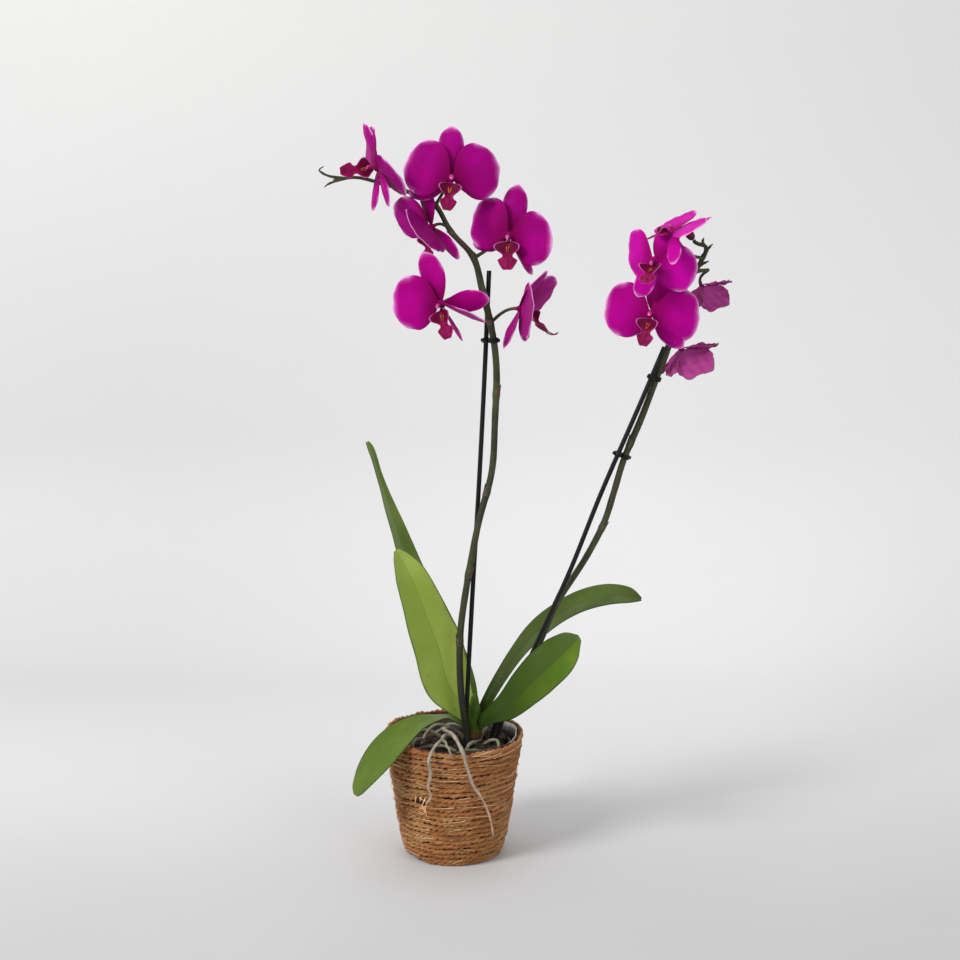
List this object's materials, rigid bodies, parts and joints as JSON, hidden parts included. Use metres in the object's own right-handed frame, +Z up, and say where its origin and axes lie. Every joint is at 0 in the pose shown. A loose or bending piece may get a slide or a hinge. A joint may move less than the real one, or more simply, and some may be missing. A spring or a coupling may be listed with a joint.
{
  "type": "potted moth orchid",
  "caption": "Potted moth orchid with arching staked flower spikes of magenta blooms over thick leaves, in bark in a lined woven seagrass basket.",
  "frame": {"origin": "centre of the basket's flat underside, on the surface it stands on", "axes": "+Z up along the basket's axis and the plant's height, -Y is the front from which the plant is seen, +X to the viewer's right"},
  "size_m": [0.3951, 0.1459, 0.7166],
  "materials": {
    "seagrass": "twisted natural seagrass rope, dry and satin on its ridges",
    "liner_film": "thin milky film",
    "pot_plastic": "thin moulded plastic",
    "bark": "rough dry bark chips",
    "root": "spongy grey-white root skin",
    "crown": "stacked green leaf sheaths",
    "leaf": "thick waxy leaf, satin gloss",
    "stem": "smooth olive to brown green stem",
    "petal": "velvety magenta petal with a paler rim",
    "lip": "waxy dark crimson lip",
    "column": "waxy pale pink column",
    "bud": "small dark magenta bud",
    "black_plastic": "smooth black plastic"
  },
  "bodies": {
    "root": {"basket": "seagrass", "basket_liner": "liner_film", "nursery_pot": "pot_plastic", "bark": "bark", "rootstock": "root", "crown": "crown", "spike_left": "stem", "spike_right": "stem", "bud": "bud", "stake_left": "black_plastic", "stake_right": "black_plastic", "clip_left": "black_plastic", "clip_right_low": "black_plastic", "clip_right_high": "black_plastic", "leaf_tall": "leaf", "leaf_wide": "leaf", "leaf_drooping": "leaf", "leaf_arching": "leaf", "leaf_low": "leaf", "bloom_a_tepals": "petal", "bloom_a_lip": "lip", "bloom_a_column": "column", "bloom_b_tepals": "petal", "bloom_b_lip": "lip", "bloom_b_column": "column", "bloom_c_tepals": "petal", "bloom_c_lip": "lip", "bloom_c_column": "column", "bloom_d_tepals": "petal", "bloom_d_lip": "lip", "bloom_d_column": "column", "bloom_e_tepals": "petal", "bloom_e_lip": "lip", "bloom_e_column": "column", "bloom_f_tepals": "petal", "bloom_f_lip": "lip", "bloom_f_column": "column", "bloom_g_tepals": "petal", "bloom_g_lip": "lip", "bloom_g_column": "column", "bloom_h_tepals": "petal", "bloom_h_lip": "lip", "bloom_h_column": "column", "bloom_i_tepals": "petal", "bloom_i_lip": "lip", "bloom_i_column": "column", "bloom_j_tepals": "petal", "bloom_j_lip": "lip", "bloom_j_column": "column", "bloom_k_tepals": "petal", "bloom_k_lip": "lip", "bloom_k_column": "column"}
  },
  "joints": []
}
